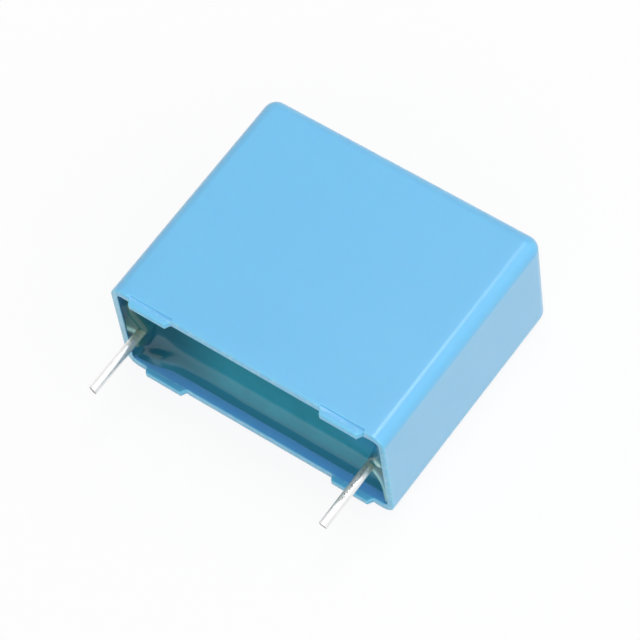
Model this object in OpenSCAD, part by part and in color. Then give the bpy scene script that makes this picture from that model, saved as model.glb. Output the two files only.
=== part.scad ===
// Box film capacitor, lying on a broad side, leads pointing along -Y.
// A moulded five-sided case is filled with resin round a flattened film winding.

/* [Case] */
// Length along the lead row
case_length = 26.5; // [26.5:0.5:32]
// Depth from the open rim to the closed end
case_depth = 22; // [18:0.5:28]
// Thickness between the two broad sides
case_thickness = 11.4; // [9:0.1:12]
// Wall at the broad sides
broad_wall = 0.8; // [0.7:0.05:1.4]
// Wall at the two narrow ends
end_wall = 0.6; // [0.6:0.05:1.1]
// Wall at the closed end
closed_wall = 1; // [0.7:0.05:1.6]
// Radius of the outer edges
edge_radius = 1.2; // [0.6:0.1:1.4]
// Radius of the edges inside the cavity
cavity_radius = 0.5; // [0.2:0.1:0.8]

/* [Standoff feet] */
// Height of the feet above the rim
foot_height = 0.5; // [0.3:0.1:1]
// Width of a foot at its root
foot_root_width = 4.2; // [3:0.1:6]
// Width of a foot at its tip
foot_tip_width = 3.5; // [2:0.1:5]
// Distance from the case's end to the root of the nearest foot
foot_inset = 1.9; // [1.4:0.1:3]
// Step between a foot's outer face and the broad side
foot_step = 0.15; // [0.05:0.05:0.3]
// Distance that the step runs into the broad side
foot_step_run = 0.25; // [0.1:0.05:0.5]

/* [Resin] */
// Depth of the resin's level below the rim
resin_recess = 2.9; // [2.6:0.1:4]
// Radius of the resin's climb at the broad walls
broad_climb = 1.9; // [0.8:0.1:2.2]
// Radius of the resin's climb at the end walls
end_climb = 2.2; // [1:0.1:2.5]
// Radius of the resin's climb round each lead
lead_climb = 0.9; // [0.5:0.1:1]
// Depth from the rim to the web of resin between a lead and the end wall
web_recess = 0.4; // [0.2:0.1:1]
// How far the web runs along the end wall on each side of its lead
web_reach = 3; // [1.5:0.25:4]

/* [Winding] */
// Resin between the flattened winding and each broad wall
winding_side_gap = 0.55; // [0.3:0.05:0.8]
// Resin between the winding and the closed end, and the same below the resin's level
winding_end_gap = 0.8; // [0.4:0.1:1]
// Thickness of the sprayed metal on each end of the winding
spray_thickness = 0.45; // [0.3:0.05:0.5]

/* [Leads] */
// Distance between the two leads
lead_pitch = 22.5; // [22.5:0.1:23]
// Wire diameter
lead_diameter = 0.8; // [0.6:0.1:0.8]
// Length of a lead beyond the tips of the feet
lead_free = 5.7; // [3:0.1:25]
// Depth that the weld presses into the wire on each side
weld_press = 0.1; // [0.05:0.05:0.15]
// Share of the sprayed end's height that the welded stretch covers
weld_share = 0.65; // [0.4:0.05:0.9]

/* [Hidden] */
$fn = 96;

case_colour = "#7FC7F0";
resin_colour = "#4C8294";
film_colour = "#D8DCD6";
spray_colour = "#9A9C9E";
lead_colour = "#D9DADC";

// The overall box is centred on X and Y, and the case lies on Z = 0.
overall_depth = case_depth + foot_height + lead_free;
closed_y = overall_depth / 2;
rim_y = closed_y - case_depth;
mid_z = case_thickness / 2;
foot_tip_y = rim_y - foot_height;

cavity_length = case_length - 2 * end_wall;
cavity_thickness = case_thickness - 2 * broad_wall;
cavity_y = closed_y - closed_wall;

// The resin leaves a skin this thick where it climbs the walls.
resin_skin = 0.05;
resin_y = rim_y + resin_recess;
// Cutting tools run this far past what they cut.
clear = 1;

lead_x = lead_pitch / 2;
lead_radius = lead_diameter / 2;
// The free stretch carries a tin coat, which feathers out from the tips of the feet inwards.
tin_coat = 0.02;
coat_taper = 0.55;
bare_y = foot_tip_y + coat_taper;
core_radius = lead_radius - tin_coat;
tip_chamfer = 0.08;

// The web narrows from its lead to web_edge on the wall, and its top is dished.
web_y = rim_y + web_recess;
web_edge = 0.2;
web_gap = cavity_length / 2 - lead_x - lead_radius;
web_taper = cavity_length / 2 - lead_x - web_edge;
web_fillet = (web_reach * web_reach + web_taper * web_taper) / (2 * web_taper);
dish_angle = 30;

// The welded stretch is a flat strip with about the wire's own section.
weld_half = lead_radius - weld_press;
weld_width = PI * core_radius * core_radius / (2 * weld_half);
// The film fills the width between the two sprayed ends, which the pressed wires touch.
film_width = lead_pitch - 2 * weld_half - 2 * spray_thickness;
winding_y = resin_y + winding_end_gap;
winding_height = cavity_y - winding_end_gap - winding_y;
winding_thickness = cavity_thickness - 2 * winding_side_gap;
spray_margin = 0.15;
spray_height = winding_height - 2 * spray_margin;
weld_start_y = winding_y + spray_margin;
weld_end_y = weld_start_y + weld_share * spray_height;

// A rectangle with round corners, centred on the origin.
module round_rectangle(width, height, radius) {
    square([width, height - 2 * radius], center = true);
    square([width - 2 * radius, height], center = true);
    for (x = [-1, 1], y = [-1, 1])
        translate([x * (width / 2 - radius), y * (height / 2 - radius)])
            circle(radius);
}

// An outline in X and Z, drawn from y_low to y_high along Y.
module along_y(y_low, y_high) {
    translate([0, y_high, mid_z])
        rotate([90, 0, 0])
            linear_extrude(height = y_high - y_low)
                children();
}

// A block open to -Y whose far end and long edges are round.
module round_end_block(length, thickness, y_low, y_high, radius) {
    corner_x = length / 2 - radius;
    corner_z = thickness / 2 - radius;
    corner_y = y_high - radius;
    along_y(y_low, corner_y)
        round_rectangle(length, thickness, radius);
    translate([-corner_x, corner_y - radius, mid_z - corner_z])
        cube([2 * corner_x, 2 * radius, 2 * corner_z]);
    for (side = [-1, 1]) {
        translate([0, corner_y, mid_z + side * corner_z])
            rotate([0, 90, 0])
                cylinder(r = radius, h = 2 * corner_x, center = true);
        translate([side * corner_x, corner_y, mid_z])
            cylinder(r = radius, h = 2 * corner_z, center = true);
    }
    for (x = [-1, 1], z = [-1, 1])
        translate([x * corner_x, corner_y, mid_z + z * corner_z])
            sphere(radius);
}

// One standoff foot, a low trapezoid on the rim of a broad wall.
module foot(x, z_low, wall) {
    translate([x, rim_y, z_low])
        linear_extrude(height = wall)
            polygon([
                [-foot_root_width / 2, foot_step_run],
                [-foot_root_width / 2, 0],
                [-foot_tip_width / 2, -foot_height],
                [foot_tip_width / 2, -foot_height],
                [foot_root_width / 2, 0],
                [foot_root_width / 2, foot_step_run]
            ]);
}

// The shallow recess that sets a foot's outer face back from the broad side.
module foot_recess(x, z_low) {
    translate([x, rim_y, z_low])
        linear_extrude(height = foot_step)
            polygon([
                [-foot_root_width / 2, -clear],
                [-foot_root_width / 2, 0],
                [-foot_tip_width / 2, foot_step_run],
                [foot_tip_width / 2, foot_step_run],
                [foot_root_width / 2, 0],
                [foot_root_width / 2, -clear]
            ]);
}

module case() {
    foot_x = case_length / 2 - foot_inset - foot_root_width / 2;
    foot_wall = broad_wall - foot_step;
    color(case_colour) {
        difference() {
            round_end_block(case_length, case_thickness, rim_y, closed_y, edge_radius);
            cavity(rim_y - clear);
            for (x = [-foot_x, foot_x], z = [0, case_thickness - foot_step])
                foot_recess(x, z);
        }
        for (x = [-foot_x, foot_x], z = [foot_step, case_thickness - broad_wall])
            foot(x, z, foot_wall);
    }
}

// The space inside the case, from y_low to the closed end.
module cavity(y_low) {
    round_end_block(cavity_length, cavity_thickness, y_low, cavity_y, cavity_radius);
}

// The air above the resin: flat at its level, and concave where the resin climbs the walls.
module air_above_resin() {
    translate([0, rim_y, mid_z])
        intersection() {
            linear_extrude(height = case_thickness, center = true)
                trough(cavity_length, end_climb);
            rotate([0, -90, 0])
                linear_extrude(height = case_length, center = true)
                    trough(cavity_thickness, broad_climb);
        }
}

// A trough's outline: its mouth faces -Y and the two corners of its floor are round.
module trough(width, radius) {
    floor_width = width - 2 * resin_skin;
    round_depth = resin_recess - radius;
    translate([-width / 2 - clear, -clear])
        square([width + 2 * clear, clear + round_depth]);
    translate([radius - floor_width / 2, -clear])
        square([floor_width - 2 * radius, clear + resin_recess]);
    for (side = [-1, 1])
        translate([side * (floor_width / 2 - radius), round_depth])
            circle(radius);
}

module potting_resin() {
    color(resin_colour)
        difference() {
            union() {
                difference() {
                    cavity(resin_y - max(end_climb, broad_climb));
                    air_above_resin();
                }
                intersection() {
                    cavity(rim_y);
                    for (side = [-1, 1]) {
                        lead_collar(side);
                        lead_web(side);
                    }
                }
            }
            winding_block();
            for (side = [-1, 1]) {
                spray_layer(side);
                lead_wire(side);
            }
        }
}

// The concave collar of resin that climbs a lead; side is -1 for left and 1 for right.
module lead_collar(side) {
    base_radius = core_radius + lead_climb;
    translate([side * lead_x, resin_y + lead_climb, mid_z])
        rotate([90, 0, 0])
            rotate_extrude()
                difference() {
                    square([base_radius, 2 * lead_climb]);
                    translate([base_radius, 2 * lead_climb])
                        circle(lead_climb);
                }
}

// The web of resin drawn up between a lead and the end wall; side is -1 for left and 1 for right.
module lead_web(side) {
    wall_x = cavity_length / 2;
    root_x = lead_x + core_radius / 2;
    difference() {
        along_y(web_y, resin_y + lead_climb)
            difference() {
                translate([side * (root_x + wall_x + clear) / 2, 0])
                    square([wall_x + clear - root_x, 2 * web_reach], center = true);
                for (end = [-1, 1])
                    translate([side * (wall_x - web_edge - web_fillet), end * web_reach])
                        circle(web_fillet);
            }
        translate([side * (wall_x - web_gap / 2), web_y - web_gap * cos(dish_angle), mid_z])
            cylinder(r = web_gap, h = 2 * (web_reach + clear), center = true);
    }
}

// The outline of the flattened winding in Y and Z, drawn along X.
module flat_roll(width, height, thickness) {
    straight = height - thickness;
    translate([0, winding_y + winding_height / 2, mid_z])
        rotate([90, 0, 90])
            linear_extrude(height = width, center = true) {
                square([straight, thickness], center = true);
                for (side = [-1, 1])
                    translate([side * straight / 2, 0])
                        circle(thickness / 2);
            }
}

module winding_block() {
    flat_roll(film_width, winding_height, winding_thickness);
}

module film_winding() {
    color(film_colour)
        winding_block();
}

// The sprayed metal on one end of the winding; side is -1 for left and 1 for right.
module spray_layer(side) {
    translate([side * (film_width + spray_thickness) / 2, 0, 0])
        flat_roll(spray_thickness, spray_height, winding_thickness - 2 * spray_margin);
}

module end_spray_left() {
    color(spray_colour)
        spray_layer(-1);
}

module end_spray_right() {
    color(spray_colour)
        spray_layer(1);
}

// One straight lead: a tinned free stretch, the bare wire in the resin and a pressed weld.
module lead_wire(side) {
    weld_length = weld_end_y - weld_start_y;
    translate([side * lead_x, 0, mid_z]) {
        translate([0, bare_y, 0])
            tinned_stretch();
        translate([0, weld_start_y, 0])
            rotate([90, 0, 0])
                cylinder(r = core_radius, h = weld_start_y - bare_y);
        translate([-weld_half, weld_start_y, -weld_width / 2])
            cube([2 * weld_half, weld_length, weld_width]);
    }
}

// The free stretch, running to -Y, from the feathered end of its coat to its clipped tip.
module tinned_stretch() {
    length = coat_taper + lead_free;
    rotate([90, 0, 0])
        rotate_extrude()
            polygon([
                [0, 0],
                [core_radius, 0],
                [lead_radius, coat_taper],
                [lead_radius, length - tip_chamfer],
                [lead_radius - tip_chamfer, length],
                [0, length]
            ]);
}

module lead_left() {
    color(lead_colour)
        lead_wire(-1);
}

module lead_right() {
    color(lead_colour)
        lead_wire(1);
}

case();
potting_resin();
film_winding();
end_spray_left();
end_spray_right();
lead_left();
lead_right();
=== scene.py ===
"""Box film capacitor: a moulded case sealed with resin, with two tinned wire leads."""
import math

import bmesh
import bpy
from bpy.props import FloatProperty, FloatVectorProperty, IntProperty, PointerProperty
from bpy.types import Operator, Panel, PropertyGroup
from mathutils import Matrix, Vector, noise


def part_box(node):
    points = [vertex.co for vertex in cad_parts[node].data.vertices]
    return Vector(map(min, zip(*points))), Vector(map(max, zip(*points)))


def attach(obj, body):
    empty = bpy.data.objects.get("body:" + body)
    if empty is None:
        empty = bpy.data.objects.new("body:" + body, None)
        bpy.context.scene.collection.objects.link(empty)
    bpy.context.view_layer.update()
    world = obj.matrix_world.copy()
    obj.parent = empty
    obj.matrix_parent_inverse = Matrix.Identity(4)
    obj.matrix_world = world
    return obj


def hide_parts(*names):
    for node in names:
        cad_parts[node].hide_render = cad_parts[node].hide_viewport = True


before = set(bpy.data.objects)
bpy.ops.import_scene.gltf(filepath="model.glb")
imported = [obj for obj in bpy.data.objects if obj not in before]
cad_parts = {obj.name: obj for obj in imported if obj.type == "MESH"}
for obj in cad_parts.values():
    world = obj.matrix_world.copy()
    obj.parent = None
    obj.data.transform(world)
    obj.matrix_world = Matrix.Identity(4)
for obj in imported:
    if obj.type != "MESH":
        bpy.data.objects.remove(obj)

bl_info = {
    "name": "Box Film Capacitor",
    "version": (1, 0, 0),
    "blender": (4, 5, 0),
    "location": "View3D > Sidebar > Capacitor",
    "description": "Builds a box film capacitor round its packed solids",
    "category": "Object",
}

MM = 0.001
CASE_LOW, CASE_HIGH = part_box("case")
RESIN_LOW, RESIN_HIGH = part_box("potting_resin")
LEAD_LOW, LEAD_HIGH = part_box("lead_right")
MID_Z = (CASE_LOW.z + CASE_HIGH.z) / 2
LEAD_X = (LEAD_LOW.x + LEAD_HIGH.x) / 2
LEAD_RADIUS = (LEAD_HIGH.z - LEAD_LOW.z) / 2


def length(name, description, default_mm):
    """A size in metres, whose default is given in millimetres."""
    return FloatProperty(
        name=name, description=description, default=default_mm * MM,
        min=0, precision=5, subtype="DISTANCE", unit="LENGTH",
    )


def colour(name, description, default):
    """A linear colour."""
    return FloatVectorProperty(
        name=name, description=description, default=default, size=3, min=0, max=1, subtype="COLOR",
    )


def turn(name, description, degrees):
    """An angle, whose default is given in degrees."""
    return FloatProperty(
        name=name, description=description, default=math.radians(degrees), subtype="ANGLE", unit="ROTATION",
    )


def share(name, description, default):
    """A plain number from 0 to 1."""
    return FloatProperty(
        name=name, description=description, default=default, min=0, max=1, subtype="FACTOR",
    )


class CaseSettings(PropertyGroup):
    """The moulded case and its four standoff feet."""
    edge_radius: length("Edge radius", "Radius of the outer edges", 1.2)
    cavity_radius: length("Cavity radius", "Radius of the edges inside the cavity", 0.5)
    round_steps: IntProperty(
        name="Round steps", description="Faces across each round edge", default=12, min=2,
    )
    broken_edge: length("Broken edge", "Width of the break on each crisp edge", 0.07)
    foot_height: length("Foot height", "Height of the feet above the rim", 0.5)
    foot_root: length("Foot root", "Width of a foot at its root", 4.2)
    foot_tip: length("Foot tip", "Width of a foot at its tip", 3.5)
    foot_inset: length("Foot inset", "Distance from the case's end to the nearest foot", 1.9)
    foot_step: length("Foot step", "Step from the broad side down to a foot's outer face", 0.15)
    foot_run: length("Step run", "Distance that the step runs into the broad side", 0.25)
    plastic: colour("Plastic", "Colour of the moulded plastic", (0.155, 0.562, 0.92))
    # Painted light: a paler colour on the rim's face that looks out of the open end, for the light that it
    # catches.
    rim: colour("Rim", "Paler colour of the thin rim's outward face", (0.13, 0.59, 1.0))
    flash: colour("Flash", "Paler colour of the thin flash along the rim", (0.42, 0.74, 1.0))
    # Painted shade: the plastic inside the cavity is given a darker colour than the outside.
    cavity: colour("Cavity", "Colour of the plastic inside the cavity", (0.15, 0.47, 0.88))
    # Painted shade: a much darker colour for the plastic at the cavity's left end.
    shaded_cavity_end: colour("Cavity end", "Colour of the plastic at the cavity's left end", (0.06, 0.2, 0.34))
    glow: share("Translucency", "Share of the light that travels inside the plastic", 0.7)
    glow_depth: length("Glow depth", "How far light travels inside the plastic", 0.9)


class ResinSettings(PropertyGroup):
    """The cured surface of the resin in the open end."""
    recess: length("Recess", "Depth of the resin's level below the rim", 2.86)
    broad_climb: length("Broad climb", "Radius of the climb at the broad walls", 1.9)
    end_climb: length("End climb", "Radius of the climb at the end walls", 2.2)
    lead_climb: length("Lead climb", "Radius of the climb round each lead", 0.95)
    web_recess: length("Web recess", "Depth of the web between a lead and the end wall below the rim", 0.3)
    web_dish: length("Web dish", "Depth of the hollow in the top of a web", 0.08)
    web_lift: length("Web lift", "How much higher a web stands at the wall than at its lead", 0.12)
    web_edge: length("Web edge", "Thickness of a web where it runs out on the end wall", 0.23)
    web_root: length("Web root", "Thickness of a web at its lead", 1.4)
    web_spread: length("Web spread", "How far a web spreads along the end wall", 1.3)
    web_sag: length("Web sag", "How much further the right web spreads on its low side", 0.55)
    web_reach: length("Web reach", "Distance from the lead at which a web's top starts to fall", 3.2)
    web_drop: length("Web drop", "How much further the right web reaches on its low side", 1.8)
    web_swell: length("Web swell", "How much thicker the right web runs out on its low side", 0.08)
    web_round: length("Web round", "Radius of a web's round shoulder", 0.45)
    contact: length("Contact band", "Width of the thin band of resin at the walls", 0.07)
    contact_rise: length("Contact rise", "How far that thin band runs up the walls", 0.1)
    corner: length("Corner", "How softly the climbs meet in the corners", 1.3)
    blend: length("Blend", "How softly the climbs run into each other", 0.3)
    corner_rise: length("Corner rise", "How much higher the resin climbs in the low left corner", 0.5)
    corner_along: length("Corner length", "How far that climb runs along the broad wall", 2)
    corner_across: length("Corner width", "How far that climb reaches up the end wall", 1.1)
    ridge: length("Ridge", "Height of the small ridge on the climb near the left lead", 0.54)
    ridge_off: length("Ridge place", "Distance of the ridge's middle from the left end wall", 1.95)
    ridge_up: length("Ridge rise", "Distance of the ridge's middle from the low broad wall", 0.25)
    ridge_length: length("Ridge length", "How far the ridge runs along the broad wall", 1.25)
    ridge_width: length("Ridge width", "How far the ridge reaches up the broad wall", 0.215)
    brim: length("Brim", "Least depth of the resin below the rim", 0.13)
    bead_off: length("Bead place", "Distance of the small bead from the right lead's axis", 0.85)
    bead_up: length("Bead rise", "Distance of the small bead above the right lead's axis", 1.1)
    bead_radius: length("Bead radius", "Radius of the small bead beside the right lead", 0.38)
    bead_height: length("Bead height", "Height of the small bead beside the right lead", 0.24)
    # Painted highlight: how strongly the webs' drawn-out edges are painted pale.
    limb_highlight: share("Limb tone", "How pale the drawn-out edges of the webs look", 0.95)
    ripple: length("Ripple", "Height of the ripples left by curing", 0.015)
    ripple_size: length("Ripple size", "Distance over which the ripples rise and fall", 2.2)
    grid_step: length("Grid step", "Spacing of the surface's mesh", 0.065)
    skin: length("Skin", "Depth of the surface piece into the cast resin", 0.5)
    ior: FloatProperty(name="Gloss", description="Refractive index of the resin", default=1.55, min=1)
    web_ior: FloatProperty(
        name="Web gloss", description="Lower refractive index, for the duller webs", default=1.16, min=1,
    )
    resin: colour("Resin", "Colour of the cured resin", (0.03, 0.33, 0.44))
    web_left: colour("Left web", "Colour of the resin in the left web", (0.028, 0.145, 0.135))
    web_right: colour("Right web", "Colour of the resin in the right web", (0.09, 0.36, 0.55))
    # Painted shade: the resin is made darker towards its left end.
    left_shade: colour("Deep resin", "Colour of the resin towards its darker left end", (0.01, 0.135, 0.195))
    # Partly the right end wall showing through thin resin, partly painted light on the shaded flank of the
    # right web.
    bright: colour("Bright end", "Colour of the resin at its brighter right end", (0.06, 0.43, 0.68))
    # Painted highlight: the pale colour along the webs' drawn-out edges and on the bead beside the right
    # lead.
    pale: colour("Pale edge", "Colour of the resin along its thin drawn-out edges", (0.5, 0.9, 0.88))
    # Painted shade: the dark colour in the hollow beside the left lead, along the left end wall and in the
    # low left corner.
    pit: colour("Pit", "Colour of the resin in its dark pits", (0.01, 0.075, 0.13))
    wall_seen: colour("Wall seen", "Colour of the case where it shows through thin resin", (0.04, 0.26, 0.38))


class LeadSettings(PropertyGroup):
    """The two tinned wires."""
    sides: IntProperty(name="Sides", description="Faces round each wire", default=48, min=12)
    cut_slope: turn("Cut slope", "Slope of the clipped tip", 14)
    cut_edge: length("Cut edge", "Width of the break round the clipped tip", 0.05)
    core_gap: length("Core gap", "How much thinner the bare wire is than the tinned one", 0.02)
    weld_press: length("Weld press", "Depth that the weld presses into each side", 0.1)
    weld_length: length("Weld length", "Length of the flat that is welded to the winding", 10.53)
    taper: length("Taper", "Length over which the tin coat thins out", 0.55)
    tin: colour("Tin", "Colour of the tinned wire", (0.88, 0.885, 0.875))
    cut: colour("Cut", "Colour of the clipped face", (0.3, 0.29, 0.28))
    film: colour("Film", "Colour of the wire under a film of resin", (0.36, 0.46, 0.36))
    skin: colour("Skin", "Colour of the dried skin along the right wire", (0.5, 0.56, 0.52))
    line: colour("Line", "Colour of the dark edge of that skin", (0.05, 0.06, 0.055))


class CoreSettings(PropertyGroup):
    """The winding and the metal sprayed on its two ends."""
    film: colour("Film", "Colour of the wound film", (0.66, 0.69, 0.68))
    seam: colour("Seam", "Colour between the turns", (0.42, 0.45, 0.46))
    spray: colour("Spray", "Colour of the sprayed zinc", (0.4, 0.41, 0.42))
    spray_pit: colour("Spray pit", "Colour of the pits in the zinc", (0.2, 0.2, 0.21))


class StageSettings(PropertyGroup):
    """The camera, the lights and the floor."""
    azimuth: turn("Azimuth", "Turn of the camera round the part", 44.134)
    elevation: turn("Elevation", "Height of the camera above the horizon", 58.058)
    roll: turn("Roll", "Turn of the camera about its own line of sight", -10.095)
    lens: FloatProperty(name="Lens", description="Focal length in millimetres", default=209.8, min=1)
    distance: length("Distance", "Distance from the camera to its target", 297.219)
    target: FloatVectorProperty(
        name="Target", description="Point in the middle of the view", size=3, precision=5,
        default=(0.258 * MM, 1.046 * MM, MID_Z), subtype="TRANSLATION", unit="LENGTH",
    )
    floor: colour("Floor", "Colour of the floor", (0.95, 0.95, 0.95))
    floor_size: length("Floor size", "Side of the floor", 3000)
    shadow: share("Shadow", "How much of the part's shadow the floor shows", 0.11)
    sky: FloatProperty(name="Sky", description="Strength of the even light all round", default=0.32, min=0)
    lean: FloatProperty(
        name="Lean", description="Extra light from the brighter side of the room", default=1.3, min=0,
    )
    lean_azimuth: turn("Lean azimuth", "Direction of the brighter side, from +X towards the open end", 33)
    key: FloatProperty(name="Key", description="Power of the overhead lamp in watts", default=0.49, min=0)
    key_size: length("Key size", "Side of the overhead lamp", 160)
    key_tilt: turn("Key tilt", "Tilt of the overhead lamp towards the open end", -12)
    key_distance: length("Key distance", "Distance from the part to the overhead lamp", 400)
    side: FloatProperty(name="Side", description="Power of the side lamp in watts", default=0.14, min=0)
    side_size: length("Side size", "Side of the side lamp", 300)
    side_distance: length("Side distance", "Distance from the part to the side lamp", 400)
    side_azimuth: turn("Side azimuth", "Turn of the side lamp from +X towards the closed end", 24)
    side_elevation: turn("Side elevation", "Height of the side lamp above the horizon", 46)
    floor_gap: length("Floor gap", "Gap that keeps the floor clear of the part's flat underside", 0.02)
    bounce: share("Bounce", "Share of the light that the floor throws back on the part", 0.45)


class CapacitorSettings(PropertyGroup):
    """Everything that can be changed before the part is built."""
    case: PointerProperty(type=CaseSettings)
    resin: PointerProperty(type=ResinSettings)
    leads: PointerProperty(type=LeadSettings)
    core: PointerProperty(type=CoreSettings)
    stage: PointerProperty(type=StageSettings)


# ---- Meshes ----

def finish_piece(name, bm, material, sharp_degrees=35):
    """Makes a finished bmesh a piece of the part, in the frame's own place."""
    bmesh.ops.recalc_face_normals(bm, faces=bm.faces[:])
    mesh = bpy.data.meshes.new(name)
    bm.to_mesh(mesh)
    bm.free()
    if not mesh.polygons:
        raise RuntimeError(f"{name} has no faces")
    mesh.shade_smooth()
    mesh.set_sharp_from_angle(angle=math.radians(sharp_degrees))
    mesh.materials.append(material)
    piece = bpy.data.objects.new(name, mesh)
    bpy.context.scene.collection.objects.link(piece)
    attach(piece, "root")
    return piece


def dress_node(name, material):
    """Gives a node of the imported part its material."""
    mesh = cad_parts[name].data
    mesh.materials.clear()
    mesh.materials.append(material)


def rim_place(context):
    """Where the case's rim lies along Y, behind the tips of the feet."""
    return CASE_LOW.y + context.scene.capacitor.case.foot_height


def cut_across(bm, axis, place, faces=None):
    """Cuts the faces, or the whole mesh, by a plane square to an axis."""
    faces = bm.faces[:] if faces is None else faces
    edges = {e for f in faces for e in f.edges}
    verts = {v for f in faces for v in f.verts}
    point = Vector((0, 0, 0))
    normal = Vector((0, 0, 0))
    point[axis] = place
    normal[axis] = 1
    bmesh.ops.bisect_plane(
        bm, geom=[*verts, *edges, *faces], dist=1e-8, plane_co=point, plane_no=normal,
    )


def open_box(bm, low, high, radius, steps):
    """Adds a box open at its low Y end, with all its other edges round, and returns its mouth's edges."""
    made = bmesh.ops.create_cube(bm, size=1)
    size = high - low
    bmesh.ops.scale(bm, vec=size, verts=made["verts"])
    bmesh.ops.translate(bm, vec=(low + high) / 2, verts=made["verts"])
    bm.normal_update()
    cap = next(f for f in {f for v in made["verts"] for f in v.link_faces} if f.normal.y < -0.5)
    round_edges = {e for v in made["verts"] for e in v.link_edges} - set(cap.edges)
    old_faces = set(bm.faces) - {f for v in made["verts"] for f in v.link_faces}
    bmesh.ops.bevel(
        bm, geom=list(round_edges), offset=radius, offset_type="OFFSET", affect="EDGES",
        segments=steps, profile=0.5, material=-1, clamp_overlap=False,
    )
    bm.normal_update()
    new_faces = set(bm.faces) - old_faces
    cap = min(new_faces, key=lambda f: f.calc_center_median().y)
    mouth = list(cap.edges)
    bmesh.ops.delete(bm, geom=[cap], context="FACES_ONLY")
    return mouth


def box_faces(bm, low, high):
    """The faces whose middles lie inside a box."""
    found = []
    for face in bm.faces:
        middle = face.calc_center_median()
        if all(low[i] <= middle[i] <= high[i] for i in range(3)):
            found.append(face)
    return found


def raise_foot(bm, s, rim_y, x, outer_z, inner_z):
    """Raises one foot from the rim and sinks the step at its outer face."""
    hair = 0.01 * MM
    side = 1 if inner_z > outer_z else -1
    step_z = outer_z + side * s.foot_step
    half = s.foot_root / 2
    z_low, z_high = sorted((outer_z - side * hair, inner_z + side * hair))
    rim = box_faces(bm, (x - half, rim_y - hair, z_low), (x + half, rim_y + hair, z_high))
    cut_across(bm, 2, step_z, rim)
    broad = box_faces(bm, (x - half, rim_y, outer_z - hair), (x + half, CASE_HIGH.y, outer_z + hair))
    cut_across(bm, 1, rim_y + s.foot_run, broad)

    # The step: its strip of rim and its patch of broad side go, then a back and a floor come.
    back_y = rim_y + s.foot_run
    z_low, z_high = sorted((outer_z - side * hair, step_z))
    strip = box_faces(bm, (x - half, rim_y - hair, z_low), (x + half, rim_y + hair, z_high))
    patch = box_faces(bm, (x - half, rim_y, outer_z - hair), (x + half, back_y, outer_z + hair))
    bmesh.ops.delete(bm, geom=strip + patch, context="FACES")
    for edge in [e for e in bm.edges if e.is_boundary]:
        middle = (edge.verts[0].co + edge.verts[1].co) / 2
        if abs(middle.x - x) > half - hair:
            continue
        if abs(middle.y - back_y) < hair and abs(middle.z - outer_z) < hair:
            shift = Vector((0, 0, side * s.foot_step))
        elif abs(middle.y - rim_y) < hair and abs(middle.z - step_z) < hair:
            shift = Vector((0, s.foot_run, 0))
        else:
            continue
        drawn = bmesh.ops.extrude_edge_only(bm, edges=[edge])["geom"]
        bmesh.ops.translate(bm, vec=shift, verts=[v for v in drawn if isinstance(v, bmesh.types.BMVert)])
    bmesh.ops.remove_doubles(bm, verts=bm.verts[:], dist=hair / 10)
    bmesh.ops.holes_fill(bm, edges=[e for e in bm.edges if e.is_boundary], sides=4)

    # The foot itself, drawn in two steps so that its root is soft.
    z_low, z_high = sorted((step_z, inner_z + side * hair))
    seat = box_faces(bm, (x - half, rim_y - hair, z_low), (x + half, rim_y + hair, z_high))
    low_rise, low_taper = 0.2, 0.35
    widths = (s.foot_root, s.foot_root - low_taper * (s.foot_root - s.foot_tip), s.foot_tip)
    rises = (low_rise * s.foot_height, (1 - low_rise) * s.foot_height)
    for i, rise in enumerate(rises):
        drawn = bmesh.ops.extrude_face_region(bm, geom=seat)["geom"]
        bmesh.ops.delete(bm, geom=seat, context="FACES_ONLY")
        seat = [f for f in drawn if isinstance(f, bmesh.types.BMFace)]
        verts = [v for v in drawn if isinstance(v, bmesh.types.BMVert)]
        bmesh.ops.translate(bm, vec=(0, -rise, 0), verts=verts)
        bmesh.ops.scale(
            bm, vec=(widths[i + 1] / widths[i], 1, 1), verts=verts,
            space=Matrix.Translation((-x, 0, 0)),
        )


class BuildCase(Operator):
    """Builds the moulded case with its rim, round edges and standoff feet"""
    bl_idname = "capacitor.build_case"
    bl_label = "Case"

    def execute(self, context):
        s = context.scene.capacitor.case
        rim_y = rim_place(context)
        outer_low = Vector((CASE_LOW.x, rim_y, CASE_LOW.z))
        # The cavity's mouth is bridged from a little deeper, then drawn level with the rim.
        sunk = MM
        inner_low = Vector((RESIN_LOW.x, rim_y + sunk, RESIN_LOW.z))
        bm = bmesh.new()
        outer = open_box(bm, outer_low, CASE_HIGH, s.edge_radius, s.round_steps)
        inner = open_box(bm, inner_low, RESIN_HIGH, s.cavity_radius, s.round_steps)
        mouth = {v for e in inner for v in e.verts}
        bmesh.ops.bridge_loops(bm, edges=outer + inner)
        bmesh.ops.translate(bm, vec=(0, -sunk, 0), verts=list(mouth))
        foot_x = CASE_HIGH.x - s.foot_inset - s.foot_root / 2
        for side in (-1, 1):
            for edge in (-1, 1):
                cut_across(bm, 0, side * foot_x + edge * s.foot_root / 2)
        for side in (-1, 1):
            raise_foot(bm, s, rim_y, side * foot_x, CASE_LOW.z, RESIN_LOW.z)
            raise_foot(bm, s, rim_y, side * foot_x, CASE_HIGH.z, RESIN_HIGH.z)
        bmesh.ops.recalc_face_normals(bm, faces=bm.faces[:])
        crisp = [e for e in bm.edges if e.is_manifold and e.calc_face_angle() > math.radians(30)]
        bmesh.ops.bevel(
            bm, geom=crisp, offset=s.broken_edge, offset_type="OFFSET", affect="EDGES",
            segments=3, profile=0.5, material=-1, clamp_overlap=True,
        )
        shell = finish_piece("case_shell", bm, moulded_plastic(s, rim_y))
        shell.modifiers.new("even_shading", "WEIGHTED_NORMAL").keep_sharp = True
        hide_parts("case")
        return {"FINISHED"}


# How far the resin falls for each unit across, on the flank of a web and in the thin band at a wall.
FLANK_SLOPE = 6
CONTACT_SLOPE = 8


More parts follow.
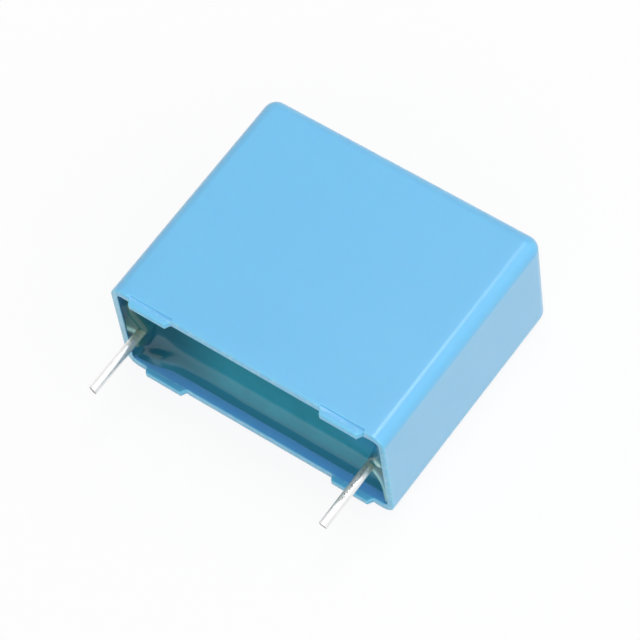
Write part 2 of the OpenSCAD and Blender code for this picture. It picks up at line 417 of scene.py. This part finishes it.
def fillet_rise(distance, radius):
    """Height of a concave fillet at a distance from the wall that it climbs."""
    run = min(max(distance, 0), radius)
    return radius - math.sqrt(radius * radius - (radius - run) ** 2)


def smooth_min(a, b, blend):
    """The lower of two depths, with a soft change from one to the other."""
    overlap = max(blend - abs(a - b), 0) / blend
    return min(a, b) - overlap * overlap * blend / 4


def web_width(s, x, above):
    """Thickness of a web, from the end wall, at a height above its lead."""
    low_right = x > 0 > above
    edge = s.web_edge + (s.web_swell if low_right else 0)
    spread = s.web_spread + (s.web_sag if low_right else 0)
    return edge + (s.web_root - edge) * math.exp(-(above / spread) ** 2)


def web_end(s, x, above):
    """Height above or below its lead at which a web's top starts to fall."""
    return s.web_reach + (s.web_drop if x > 0 > above else 0)


def web_depth(s, x, z, end_gap):
    """Depth of a web's top and flank below the rim."""
    above = z - MID_Z
    across = min(max(end_gap / s.web_root, 0), 1)
    hollow = s.web_dish * math.sin(math.pi * across)
    lift = s.web_lift * (1 - across)
    fall = max(abs(above) - web_end(s, x, above), 0)
    # The round shoulder stops short of upright, and a steep flank goes on from there.
    past = max(end_gap - web_width(s, x, above), 0)
    on_round = min(past, 0.95 * s.web_round)
    shoulder = s.web_round - math.sqrt(s.web_round ** 2 - on_round ** 2)
    return s.web_recess + hollow + fall - lift + shoulder + FLANK_SLOPE * (past - on_round)


def hill(x, z, middle, size_x, size_z):
    """A soft hill that is 1 in its middle and falls away over the given sizes."""
    return math.exp(-((x - middle[0]) / size_x) ** 2 - ((z - middle[1]) / size_z) ** 2)


def bead(s, x, z):
    """The small bead beside the right lead, 1 in its middle."""
    return hill(x, z, (LEAD_X + s.bead_off, MID_Z + s.bead_up), s.bead_radius, s.bead_radius)


def resin_depth(s, x, z):
    """Depth of the cured resin below the rim at one spot of the open end."""
    end_gap = RESIN_HIGH.x - abs(x)
    broad_gap = RESIN_HIGH.z - MID_Z - abs(z - MID_Z)
    climbs = []
    for gap, radius in ((end_gap, s.end_climb), (broad_gap, s.broad_climb)):
        band = min(max(s.contact - gap, 0) * CONTACT_SLOPE, s.contact_rise)
        climbs.append(s.recess - fillet_rise(gap - s.contact, radius) - band)
    depth = smooth_min(*climbs, s.corner)
    if x < 0 and z < MID_Z:
        low_left = (RESIN_LOW.x, RESIN_LOW.z)
        depth -= s.corner_rise * hill(x, z, low_left, s.corner_along, s.corner_across)
    lead_gap = math.hypot(abs(x) - LEAD_X, z - MID_Z) - LEAD_RADIUS
    depth = smooth_min(depth, s.recess - fillet_rise(lead_gap, s.lead_climb), s.blend)
    depth = smooth_min(depth, web_depth(s, x, z, end_gap), s.blend)
    depth -= s.ripple * (0.5 + noise.noise(Vector((x, 0, z)) / s.ripple_size))
    depth -= s.bead_height * bead(s, x, z)
    on_ridge = (RESIN_LOW.x + s.ridge_off, RESIN_LOW.z + s.ridge_up)
    depth -= s.ridge * hill(x, z, on_ridge, s.ridge_length, s.ridge_width)
    return max(depth, s.brim)


def ramp(value, start, end):
    """0 before the start, 1 past the end and even in between."""
    return min(max((value - start) / (end - start), 0), 1)


def painted_resin_light(s, x, z):
    """Painted light at one spot of the open end: above 0 a painted highlight, up to 1; below 0 painted shade,
    down to -1.
    """
    above = z - MID_Z
    wall_gap = RESIN_HIGH.x - abs(x)
    if x > 0:
        past = wall_gap - web_width(s, x, above)
        runs_out = web_end(s, x, above) + 0.2 * MM
        limb = math.exp(-((past + 0.1 * MM) / (0.4 * MM)) ** 2)
        limb *= ramp(abs(above), runs_out + MM, runs_out) * ramp(above, 0.2 * MM, -0.8 * MM)
        # Painted highlight on the bead and along the right web's drawn-out edge.
        return min(1.6 * bead(s, x, z), 1) + limb * s.limb_highlight
    # Painted highlight along the left web's low edge.
    low_edge = hill(x, z, (x, MID_Z - 0.45 * MM), MM, 0.4 * MM)
    low_edge *= ramp(wall_gap, s.web_root, s.web_root - 0.3 * MM)
    # Painted shade in the hollow by the left wall, along that wall above the lead and in the low left corner.
    pit = hill(x, z, (RESIN_LOW.x + 0.15 * MM, MID_Z - 1.4 * MM), 0.3 * MM, 0.45 * MM)
    at_wall = ramp(wall_gap, 0.6 * MM, 0.3 * MM) * ramp(above, 0.5 * MM, 1.5 * MM)
    low_corner = hill(x, z, (RESIN_LOW.x + 0.5 * MM, RESIN_LOW.z + 0.5 * MM), 1.1 * MM, 0.8 * MM)
    return low_edge * s.limb_highlight - max(pit, 0.8 * at_wall, 0.6 * low_corner)


class BuildResin(Operator):
    """Builds the cured surface of the resin, which climbs the walls and the leads"""
    bl_idname = "capacitor.build_resin"
    bl_label = "Resin"

    def execute(self, context):
        s = context.scene.capacitor.resin
        rim_y = rim_place(context)
        # The surface runs a little way into the walls, so that no gap shows beside it.
        overlap = 0.03 * MM
        half_x = RESIN_HIGH.x + overlap
        half_z = (RESIN_HIGH.z - RESIN_LOW.z) / 2 + overlap
        bm = bmesh.new()
        bmesh.ops.create_grid(
            bm, x_segments=round(2 * half_x / s.grid_step), y_segments=round(2 * half_z / s.grid_step),
            size=1, matrix=Matrix.Diagonal((half_x, half_z, 1, 1)),
        )
        bmesh.ops.rotate(bm, verts=bm.verts[:], matrix=Matrix.Rotation(math.radians(90), 3, "X"))
        bmesh.ops.translate(bm, verts=bm.verts[:], vec=(0, rim_y, MID_Z))
        # Each vertex keeps its painted highlight and painted shade in this layer.
        tone = bm.verts.layers.float.new("tone")
        for vert in bm.verts:
            vert[tone] = painted_resin_light(s, vert.co.x, vert.co.z)
            vert.co.y += resin_depth(s, vert.co.x, vert.co.z)
        border = [e for e in bm.edges if e.is_boundary]
        drawn = bmesh.ops.extrude_edge_only(bm, edges=border)["geom"]
        skirt = [v for v in drawn if isinstance(v, bmesh.types.BMVert)]
        for vert in skirt:
            vert.co.y = rim_y + s.recess + s.skin
        bmesh.ops.holes_fill(bm, edges=[e for e in bm.edges if e.is_boundary])
        # The webs' tops are duller than the rest, apart from the bead.
        for face in bm.faces:
            middle = face.calc_center_median()
            end_gap = RESIN_HIGH.x - abs(middle.x)
            on_web = end_gap < web_width(s, middle.x, middle.z - MID_Z) + 0.6 * s.web_round
            shallow = middle.y < rim_y + 1.1 * MM
            face.material_index = int(on_web and shallow and bead(s, middle.x, middle.z) < 0.3)
        material = cast_resin("cast_green_resin", s, rim_y, s.ior)
        surface = finish_piece("resin_surface", bm, material)
        surface.data.materials.append(cast_resin("dull_web_resin", s, rim_y, s.web_ior))
        dress_node("potting_resin", material)
        return {"FINISHED"}


class BuildLeads(Operator):
    """Builds the two tinned leads, from their clipped tips to their welded flats"""
    bl_idname = "capacitor.build_leads"
    bl_label = "Leads"

    def execute(self, context):
        s = context.scene.capacitor.leads
        rim_y = rim_place(context)
        material = tinned_wire(s, rim_y)
        for node in ("lead_left", "lead_right"):
            low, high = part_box(node)
            radius = (high.z - low.z) / 2
            axis = Vector(((low.x + high.x) / 2, 0, MID_Z))
            core = radius - s.core_gap
            weld_y = high.y - s.weld_length
            half_flat = radius - s.weld_press
            half_strip = math.pi * core * core / (4 * half_flat)
            # Each station: place along the wire, half size across, half size in height.
            stations = (
                (CASE_LOW.y, radius, radius),
                (CASE_LOW.y + s.taper, core, core),
                (weld_y - 0.2 * MM, core, core),
                (weld_y + 0.1 * MM, half_flat, half_strip),
                (high.y, half_flat, half_strip),
            )
            bm = bmesh.new()
            bmesh.ops.create_circle(
                bm, cap_ends=True, segments=s.sides, radius=radius,
                matrix=Matrix.Translation((axis.x, low.y, MID_Z)) @ Matrix.Rotation(math.radians(90), 4, "X"),
            )
            face = tip_face = bm.faces[:]
            wide, tall = radius, radius
            for y, half_x, half_z in stations:
                at_tip = face is tip_face
                drawn = bmesh.ops.extrude_face_region(bm, geom=face, use_keep_orig=at_tip)["geom"]
                if not at_tip:
                    bmesh.ops.delete(bm, geom=face, context="FACES_ONLY")
                face = [f for f in drawn if isinstance(f, bmesh.types.BMFace)]
                verts = [v for v in drawn if isinstance(v, bmesh.types.BMVert)]
                bmesh.ops.translate(bm, vec=(0, y - verts[0].co.y, 0), verts=verts)
                bmesh.ops.scale(
                    bm, vec=(half_x / wide, 1, half_z / tall), verts=verts, space=Matrix.Translation(-axis),
                )
                wide, tall = half_x, half_z
            # Each tip is clipped a little out of square, in its own direction.
            leaning = Vector((-0.4, 0, -0.9) if node == "lead_right" else (-0.9, 0, -0.4)).normalized()
            cut = leaning * math.sin(s.cut_slope) - Vector((0, math.cos(s.cut_slope), 0))
            tip = Vector((axis.x, low.y + radius * math.tan(s.cut_slope), MID_Z))
            bmesh.ops.bisect_plane(
                bm, geom=bm.verts[:] + bm.edges[:] + bm.faces[:], dist=1e-8,
                plane_co=tip, plane_no=cut, clear_outer=True,
            )
            bmesh.ops.holes_fill(bm, edges=[e for e in bm.edges if e.is_boundary])
            rim = [e for e in bm.edges if e.is_manifold and e.calc_face_angle() > math.radians(50)
                   and (e.verts[0].co - tip).length < 2 * radius]
            bmesh.ops.bevel(
                bm, geom=rim, offset=s.cut_edge, offset_type="OFFSET", affect="EDGES",
                segments=3, profile=0.5, material=-1,
            )
            lead = finish_piece(node + "_wire", bm, material)
            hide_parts(node)
        return {"FINISHED"}


class DressCore(Operator):
    """Gives the winding and its sprayed ends their finishes"""
    bl_idname = "capacitor.dress_core"
    bl_label = "Winding and sprayed ends"

    def execute(self, context):
        s = context.scene.capacitor.core
        dress_node("film_winding", wound_film(s))
        zinc = sprayed_zinc(s)
        dress_node("end_spray_left", zinc)
        dress_node("end_spray_right", zinc)
        return {"FINISHED"}


# ---- Materials ----

def add_node(tree, kind, values=None, **settings):
    """Adds a shader node, with plain values and linked sockets for its inputs."""
    node = tree.nodes.new(kind)
    for key, value in settings.items():
        setattr(node, key, value)
    for key, value in (values or {}).items():
        socket = node.inputs[key]
        if isinstance(value, bpy.types.NodeSocket):
            tree.links.new(value, socket)
        elif socket.type == "RGBA" and len(value) == 3:
            socket.default_value = (*value, 1)
        else:
            socket.default_value = value
    return node


def new_material(name):
    """A material whose tree holds only the coordinates in the frame."""
    material = bpy.data.materials.new(name)
    material.use_nodes = True
    tree = material.node_tree
    tree.nodes.clear()
    place = add_node(tree, "ShaderNodeTexCoord").outputs["Object"]
    return material, tree, place


def put_shader(material, tree, values):
    """Ends a material with its one Principled shader."""
    shader = add_node(tree, "ShaderNodeBsdfPrincipled", values)
    add_node(tree, "ShaderNodeOutputMaterial", {"Surface": shader.outputs["BSDF"]})
    material.diffuse_color = (*shader.inputs["Base Color"].default_value[:3], 1)
    return material


def grain(tree, place, size, detail=2.0, stretch=(1, 1, 1)):
    """Noise whose features are about the given size in metres."""
    mapped = add_node(tree, "ShaderNodeMapping", {"Vector": place, "Scale": stretch})
    return add_node(tree, "ShaderNodeTexNoise", {
        "Vector": mapped.outputs["Vector"], "Scale": 1 / size, "Detail": detail,
    }).outputs["Fac"]


def remap(tree, value, from_low, from_high, to_low=0.0, to_high=1.0, smooth=False):
    """Maps one range of a value to another, clamped."""
    return add_node(tree, "ShaderNodeMapRange", {
        "Value": value, "From Min": from_low, "From Max": from_high, "To Min": to_low, "To Max": to_high,
    }, interpolation_type="SMOOTHSTEP" if smooth else "LINEAR").outputs["Result"]


def math_node(tree, operation, a, b=0.0):
    """One step of arithmetic."""
    node = tree.nodes.new("ShaderNodeMath")
    node.operation = operation
    for socket, value in zip(node.inputs, (a, b)):
        if isinstance(value, bpy.types.NodeSocket):
            tree.links.new(value, socket)
        else:
            socket.default_value = value
    return node.outputs[0]


def blend_colours(tree, factor, low, high):
    """Mixes two colours."""
    node = tree.nodes.new("ShaderNodeMix")
    node.data_type = "RGBA"
    tree.links.new(factor, node.inputs[0])
    for socket, value in ((node.inputs[6], low), (node.inputs[7], high)):
        if isinstance(value, bpy.types.NodeSocket):
            tree.links.new(value, socket)
        else:
            socket.default_value = (*value, 1)
    return node.outputs[2]


def shade(value, factor):
    """A colour made lighter or darker."""
    return tuple(min(c * factor, 1) for c in value)


def bump(tree, height, depth, strength=1.0, under=None):
    """A bump of the given depth in metres, laid over another one."""
    values = {"Height": height, "Distance": depth, "Strength": strength}
    if under is not None:
        values["Normal"] = under
    return add_node(tree, "ShaderNodeBump", values).outputs["Normal"]


def moulded_plastic(s, rim_y):
    """Semi-gloss moulded plastic that passes a little light, with pale flash along its rim, painted light on
    the rim's outward face and left end, and painted shade inside the cavity.
    """
    material, tree, place = new_material("moulded_blue_plastic")
    along, across, height = add_node(tree, "ShaderNodeSeparateXYZ", {"Vector": place}).outputs
    base = blend_colours(tree, grain(tree, place, 9 * MM), shade(s.plastic, 0.98), shade(s.plastic, 1.02))
    # Painted shade: the plastic inside the cavity takes the darker cavity colour.
    inside = remap(tree, across, rim_y + 0.02 * MM, rim_y + 0.1 * MM)
    from_middle = math_node(tree, "ABSOLUTE", math_node(tree, "SUBTRACT", height, MID_Z))
    for distance, limit in (
        (math_node(tree, "ABSOLUTE", along), RESIN_HIGH.x),
        (from_middle, RESIN_HIGH.z - MID_Z),
        (across, CASE_HIGH.y - 0.5 * MM),
    ):
        within = remap(tree, distance, limit + 0.1 * MM, limit + 0.05 * MM)
        inside = math_node(tree, "MULTIPLY", inside, within)
    # Painted shade: darker still at the cavity's left end.
    left_end_shade = remap(tree, along, RESIN_LOW.x + 0.45 * MM, RESIN_LOW.x + 0.05 * MM)
    base = blend_colours(tree, inside, base, blend_colours(tree, left_end_shade, s.cavity, s.shaded_cavity_end))
    near_rim = remap(tree, across, rim_y + 0.1 * MM, rim_y - 0.02 * MM, smooth=True)
    facing = add_node(tree, "ShaderNodeSeparateXYZ", {
        "Vector": add_node(tree, "ShaderNodeNewGeometry").outputs["Normal"],
    }).outputs["Y"]
    # Painted light: the rim's face that looks out of the open end takes the paler rim colour.
    outward = math_node(tree, "MULTIPLY", near_rim, remap(tree, facing, -0.3, -0.8))
    off_foot = remap(tree, across, rim_y - 0.12 * MM, rim_y - 0.05 * MM)
    patchy = remap(tree, grain(tree, place, 0.5 * MM, 3), 0.45, 0.7, 0, 0.6)
    # Painted sheen: the rim strip of the left end wall is made paler throughout, on top of the patchy flash.
    left_rim_sheen = remap(tree, along, RESIN_LOW.x + 0.1 * MM, RESIN_LOW.x - 0.1 * MM, 0, 0.6)
    patchy = math_node(tree, "MAXIMUM", patchy, left_rim_sheen)
    flash = math_node(tree, "MULTIPLY", math_node(tree, "MULTIPLY", near_rim, off_foot), patchy)
    base = blend_colours(tree, flash, blend_colours(tree, outward, base, s.rim), s.flash)
    sink = bump(tree, grain(tree, place, 7 * MM, 1), 0.02 * MM)
    rough = remap(tree, grain(tree, place, 2 * MM, 4), 0.3, 0.7, 0.29, 0.36)
    rough = remap(tree, near_rim, 0, 1, rough, 0.5)
    return put_shader(material, tree, {
        "Base Color": base, "Roughness": rough, "Normal": sink, "IOR": 1.5,
        "Subsurface Weight": s.glow, "Subsurface Radius": (0.6, 0.9, 1.0), "Subsurface Scale": s.glow_depth,
        "Coat Weight": 0.7, "Coat Roughness": 0.3,
    })


def cast_resin(name, s, rim_y, ior):
    """Glossy cast resin: greener in the webs and blue where the wall shows through, with painted shade
    towards its left end, painted light at its right end, and painted highlights and painted shade from each
    vertex.
    """
    material, tree, place = new_material(name)
    along, across, height = add_node(tree, "ShaderNodeSeparateXYZ", {"Vector": place}).outputs
    cloudy = blend_colours(tree, grain(tree, place, 1.8 * MM, 3), shade(s.resin, 0.85), shade(s.resin, 1.15))
    # Painted shade: the resin darkens towards its left end.
    left_shade_mask = remap(tree, along, -3 * MM, -11 * MM, smooth=True)
    cloudy = blend_colours(tree, left_shade_mask, cloudy, s.left_shade)
    end_gap = math_node(tree, "SUBTRACT", RESIN_HIGH.x, math_node(tree, "ABSOLUTE", along))
    shallow = remap(tree, across, rim_y + 1.5 * MM, rim_y + 0.5 * MM, smooth=True)
    web = math_node(tree, "MULTIPLY", shallow, remap(tree, end_gap, 2.4 * MM, 1.6 * MM, smooth=True))
    off_lead = math_node(tree, "ABSOLUTE", math_node(tree, "SUBTRACT", height, MID_Z + 0.5 * MM))
    bluer = remap(tree, off_lead, 0.9 * MM, 2 * MM, 0.25, 1)
    bluer = math_node(tree, "MULTIPLY", remap(tree, along, -MM, MM), bluer)
    web_colour = blend_colours(tree, bluer, s.web_left, s.web_right)
    base = blend_colours(tree, web, cloudy, web_colour)
    from_middle = math_node(tree, "ABSOLUTE", math_node(tree, "SUBTRACT", height, MID_Z))
    broad_gap = math_node(tree, "SUBTRACT", RESIN_HIGH.z - MID_Z, from_middle)
    off_web = remap(tree, from_middle, 1.4 * MM, 2.4 * MM, smooth=True)
    thin_end = math_node(tree, "MULTIPLY", remap(tree, end_gap, 0.5 * MM, 0.1 * MM, smooth=True), off_web)
    thin_broad = remap(tree, broad_gap, 0.3 * MM, 0.05 * MM, smooth=True)
    base = blend_colours(tree, math_node(tree, "MAXIMUM", thin_end, thin_broad), base, s.wall_seen)
    # The right end, off the webs: partly the wall showing through, partly painted light on the shaded flank.
    rightwards = math_node(
        tree, "MULTIPLY", remap(tree, along, 4 * MM, 11 * MM, smooth=True),
        remap(tree, height, 1.6 * MM, 3.2 * MM, smooth=True),
    )
    rightwards = math_node(tree, "MULTIPLY", rightwards, math_node(tree, "SUBTRACT", 1.0, web))
    base = blend_colours(tree, rightwards, base, s.bright)
    # Painted highlight where the stored value is above 0, painted shade where it is below.
    tone = add_node(tree, "ShaderNodeAttribute", attribute_name="tone").outputs["Fac"]
    uneven = remap(tree, grain(tree, place, 0.5 * MM, 3), 0.3, 0.7, 0.7, 1)
    pale = math_node(tree, "MULTIPLY", math_node(tree, "MAXIMUM", tone), uneven)
    base = blend_colours(tree, pale, base, s.pale)
    dark = math_node(tree, "MAXIMUM", math_node(tree, "MULTIPLY", tone, -1.0))
    base = blend_colours(tree, dark, base, s.pit)
    ripples = bump(tree, grain(tree, place, 1.1 * MM, 2), 0.004 * MM)
    rough = remap(tree, grain(tree, place, 0.9 * MM, 4), 0.35, 0.7, 0.09, 0.16)
    return put_shader(material, tree, {
        "Base Color": base, "Roughness": rough, "Normal": ripples, "IOR": ior,
    })


def tinned_wire(s, rim_y):
    """Bright tinned wire with drawing marks, under a film of resin near its root."""
    material, tree, place = new_material("bright_tinned_wire")
    along, across, height = add_node(tree, "ShaderNodeSeparateXYZ", {"Vector": place}).outputs
    ragged = remap(tree, grain(tree, place, 0.35 * MM, 4), 0.3, 0.7, -0.5 * MM, 0.5 * MM)
    longer_left = remap(tree, along, -MM, MM, 0.35 * MM, -0.1 * MM)
    film = remap(
        tree, math_node(tree, "ADD", math_node(tree, "ADD", across, ragged), longer_left),
        rim_y - 1.5 * MM, rim_y + 0.5 * MM, smooth=True,
    )
    # How far round the right wire a spot lies: low X and high Z come first.
    far_side = math_node(
        tree, "SUBTRACT",
        math_node(tree, "MULTIPLY", math_node(tree, "SUBTRACT", along, LEAD_X), 0.92),
        math_node(tree, "MULTIPLY", math_node(tree, "SUBTRACT", height, MID_Z), 0.4),
    )
    uneven = remap(tree, grain(tree, place, 0.2 * MM, 4), 0.3, 0.7, -0.1 * MM, 0.1 * MM)
    from_edge = math_node(tree, "ADD", math_node(tree, "ADD", far_side, uneven), 0.12 * MM)
    stretch = math_node(
        tree, "MULTIPLY", remap(tree, across, rim_y - 4.4 * MM, rim_y - 3.4 * MM), remap(tree, along, 0, MM),
    )
    skin = math_node(tree, "MULTIPLY", remap(tree, from_edge, 0.02 * MM, -0.02 * MM), stretch)
    off_edge = math_node(tree, "ABSOLUTE", from_edge)
    line = math_node(tree, "MULTIPLY", remap(tree, off_edge, 0.06 * MM, 0.02 * MM), stretch)
    tarnish = blend_colours(tree, grain(tree, place, 0.5 * MM, 4), shade(s.tin, 0.86), shade(s.tin, 1.05))
    base = blend_colours(tree, math_node(tree, "MULTIPLY", skin, 0.75), tarnish, s.skin)
    base = blend_colours(tree, math_node(tree, "MULTIPLY", line, 0.85), base, s.line)
    green = blend_colours(tree, grain(tree, place, 0.3 * MM, 3), shade(s.film, 0.75), shade(s.film, 1.3))
    base = blend_colours(tree, film, base, green)
    cut = remap(tree, across, LEAD_LOW.y + 0.24 * MM, LEAD_LOW.y + 0.16 * MM, smooth=True)
    facing = add_node(tree, "ShaderNodeSeparateXYZ", {
        "Vector": add_node(tree, "ShaderNodeNewGeometry").outputs["Normal"],
    }).outputs["Y"]
    clipped = math_node(tree, "MULTIPLY", cut, remap(tree, facing, -0.5, -0.8))
    base = blend_colours(tree, clipped, base, s.cut)
    drawn = bump(tree, grain(tree, place, 0.06 * MM, 2, stretch=(1, 0.04, 1)), 0.002 * MM)
    dents = bump(tree, grain(tree, place, 0.45 * MM, 2), 0.008 * MM, under=drawn)
    rough = remap(tree, grain(tree, place, 0.25 * MM, 4, stretch=(1, 0.3, 1)), 0.3, 0.7, 0.29, 0.4)
    coated = math_node(tree, "MAXIMUM", film, math_node(tree, "MAXIMUM", skin, line))
    return put_shader(material, tree, {
        "Base Color": base, "Metallic": remap(tree, coated, 0, 1, 1, 0.35),
        "Roughness": rough, "Normal": dents,
    })


def wound_film(s):
    """Metallised film, seen as fine layers from its edge."""
    material, tree, place = new_material("wound_metallised_film")
    layers = add_node(tree, "ShaderNodeTexWave", {
        "Vector": place, "Scale": 1 / (0.25 * MM), "Distortion": 0.6, "Detail": 2, "Detail Scale": 0.3,
    }, wave_type="BANDS", bands_direction="Z").outputs["Fac"]
    base = blend_colours(tree, layers, s.seam, s.film)
    rough = remap(tree, grain(tree, place, 1.5 * MM, 3), 0.3, 0.7, 0.3, 0.45)
    return put_shader(material, tree, {
        "Base Color": base, "Metallic": 0.4, "Roughness": rough, "Normal": bump(tree, layers, 0.01 * MM),
    })


def sprayed_zinc(s):
    """Flame-sprayed zinc, a crust of fine dull grains."""
    material, tree, place = new_material("sprayed_zinc_crust")
    cells = add_node(tree, "ShaderNodeTexVoronoi", {
        "Vector": place, "Scale": 1 / (0.16 * MM), "Randomness": 1,
    }, feature="SMOOTH_F1").outputs["Distance"]
    crust = math_node(tree, "ADD", cells, grain(tree, place, 0.35 * MM, 4))
    base = blend_colours(tree, remap(tree, crust, 0.5, 1.2), s.spray_pit, s.spray)
    return put_shader(material, tree, {
        "Base Color": base, "Metallic": 0.7, "Roughness": remap(tree, crust, 0.4, 1.2, 0.75, 0.5),
        "Normal": bump(tree, crust, 0.05 * MM),
    })


# ---- Stage ----

def camera_matrix(s):
    """Where the camera stands and how it is turned."""
    back = Vector((
        math.sin(s.azimuth) * math.cos(s.elevation),
        -math.cos(s.azimuth) * math.cos(s.elevation),
        math.sin(s.elevation),
    ))
    across = Vector((0, 0, 1)).cross(back).normalized()
    up = back.cross(across)
    turned = Matrix((across, up, back)).transposed() @ Matrix.Rotation(s.roll, 3, "Z")
    return Matrix.Translation(Vector(s.target) + back * s.distance) @ turned.to_4x4()


def white_for_lookers(tree):
    """1 for rays from the camera or off shiny and clear things, and 0 for the light itself."""
    path = add_node(tree, "ShaderNodeLightPath")
    seen = math_node(tree, "MAXIMUM", path.outputs["Is Camera Ray"], path.outputs["Is Glossy Ray"])
    return math_node(tree, "MAXIMUM", seen, path.outputs["Is Transmission Ray"])


def add_softbox(name, toward, distance, size, power):
    """Adds a square lamp at a distance from the part, facing it."""
    lamp = bpy.data.lights.new(name, "AREA")
    lamp.size = size
    lamp.energy = power
    softbox = bpy.data.objects.new(name, lamp)
    softbox.matrix_world = (
        Matrix.Translation(Vector((0, 0, MID_Z)) + toward * distance)
        @ toward.to_track_quat("Z", "Y").to_matrix().to_4x4()
    )
    bpy.context.scene.collection.objects.link(softbox)


class SetStage(Operator):
    """Sets up the camera, the soft lights and the pale floor"""
    bl_idname = "capacitor.set_stage"
    bl_label = "Stage"

    def execute(self, context):
        s = context.scene.capacitor.stage
        scene = context.scene
        scene.view_settings.view_transform = "Standard"

        camera = bpy.data.objects.new("camera", bpy.data.cameras.new("camera"))
        camera.data.lens = s.lens
        camera.data.clip_start = 0.01
        camera.matrix_world = camera_matrix(s)
        scene.collection.objects.link(camera)
        scene.camera = camera

        world = bpy.data.worlds.new("white_room")
        world.use_nodes = True
        tree = world.node_tree
        tree.nodes.clear()
        looking = add_node(tree, "ShaderNodeTexCoord").outputs["Generated"]
        brighter_side = (math.cos(s.lean_azimuth), -math.sin(s.lean_azimuth), 0)
        facing = add_node(
            tree, "ShaderNodeVectorMath", {0: looking, 1: brighter_side}, operation="DOT_PRODUCT",
        ).outputs["Value"]
        light = remap(tree, facing, 0, 1, s.sky, s.sky + s.lean)
        strength = add_node(tree, "ShaderNodeMix", {
            "Factor": white_for_lookers(tree), "A": light, "B": 1.0,
        }).outputs["Result"]
        sky = add_node(tree, "ShaderNodeBackground", {"Color": (1, 1, 1), "Strength": strength})
        add_node(tree, "ShaderNodeOutputWorld", {"Surface": sky.outputs["Background"]})
        scene.world = world

        overhead = Vector((0, -math.sin(s.key_tilt), math.cos(s.key_tilt)))
        add_softbox("overhead_softbox", overhead, s.key_distance, s.key_size, s.key)
        beside = Vector((
            math.cos(s.side_azimuth) * math.cos(s.side_elevation),
            math.sin(s.side_azimuth) * math.cos(s.side_elevation),
            math.sin(s.side_elevation),
        ))
        add_softbox("side_softbox", beside, s.side_distance, s.side_size, s.side)

        bm = bmesh.new()
        bmesh.ops.create_grid(bm, x_segments=1, y_segments=1, size=s.floor_size / 2)
        bmesh.ops.translate(bm, vec=(0, 0, -s.floor_gap), verts=bm.verts[:])
        mesh = bpy.data.meshes.new("floor")
        bm.to_mesh(mesh)
        bm.free()
        floor = bpy.data.objects.new("floor", mesh)
        mesh.materials.append(pale_floor(s))
        scene.collection.objects.link(floor)
        return {"FINISHED"}


def pale_floor(s):
    """A white floor that keeps a faint shadow of the part, and is clear from below."""
    material, tree, _ = new_material("pale_floor")
    material.cycles.emission_sampling = "NONE"
    seen = white_for_lookers(tree)
    thrown = tuple(c * s.bounce for c in s.floor)
    matte = add_node(tree, "ShaderNodeBsdfDiffuse", {"Color": blend_colours(tree, seen, thrown, s.floor)})
    glow = add_node(tree, "ShaderNodeEmission", {"Color": (1, 1, 1), "Strength": 1.0})
    factor = remap(tree, seen, 0, 1, 0, 1 - s.shadow)
    surface = add_node(tree, "ShaderNodeMixShader", {
        0: factor, 1: matte.outputs["BSDF"], 2: glow.outputs["Emission"],
    })
    below = add_node(tree, "ShaderNodeNewGeometry").outputs["Backfacing"]
    clear = add_node(tree, "ShaderNodeBsdfTransparent")
    one_sided = add_node(tree, "ShaderNodeMixShader", {
        0: below, 1: surface.outputs["Shader"], 2: clear.outputs["BSDF"],
    })
    add_node(tree, "ShaderNodeOutputMaterial", {"Surface": one_sided.outputs["Shader"]})
    return material


# ---- Panel ----

STEPS = (SetStage, BuildCase, BuildResin, BuildLeads, DressCore)


class CapacitorPanel(Panel):
    """Lists the steps that build the capacitor"""
    bl_idname = "VIEW3D_PT_box_capacitor"
    bl_label = "Box Film Capacitor"
    bl_space_type = "VIEW_3D"
    bl_region_type = "UI"
    bl_category = "Capacitor"

    def draw(self, context):
        for step in STEPS:
            self.layout.operator(step.bl_idname)


CLASSES = (
    CaseSettings, ResinSettings, LeadSettings, CoreSettings, StageSettings, CapacitorSettings,
    *STEPS, CapacitorPanel,
)


def register():
    for cls in CLASSES:
        bpy.utils.register_class(cls)
    bpy.types.Scene.capacitor = PointerProperty(type=CapacitorSettings)


def unregister():
    del bpy.types.Scene.capacitor
    for cls in reversed(CLASSES):
        bpy.utils.unregister_class(cls)


def main():
    """Builds everything in order."""
    register()
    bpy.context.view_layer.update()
    bpy.ops.capacitor.set_stage()
    bpy.ops.capacitor.build_case()
    bpy.ops.capacitor.build_resin()
    bpy.ops.capacitor.build_leads()
    bpy.ops.capacitor.dress_core()


if __name__ == "__main__":
    main()
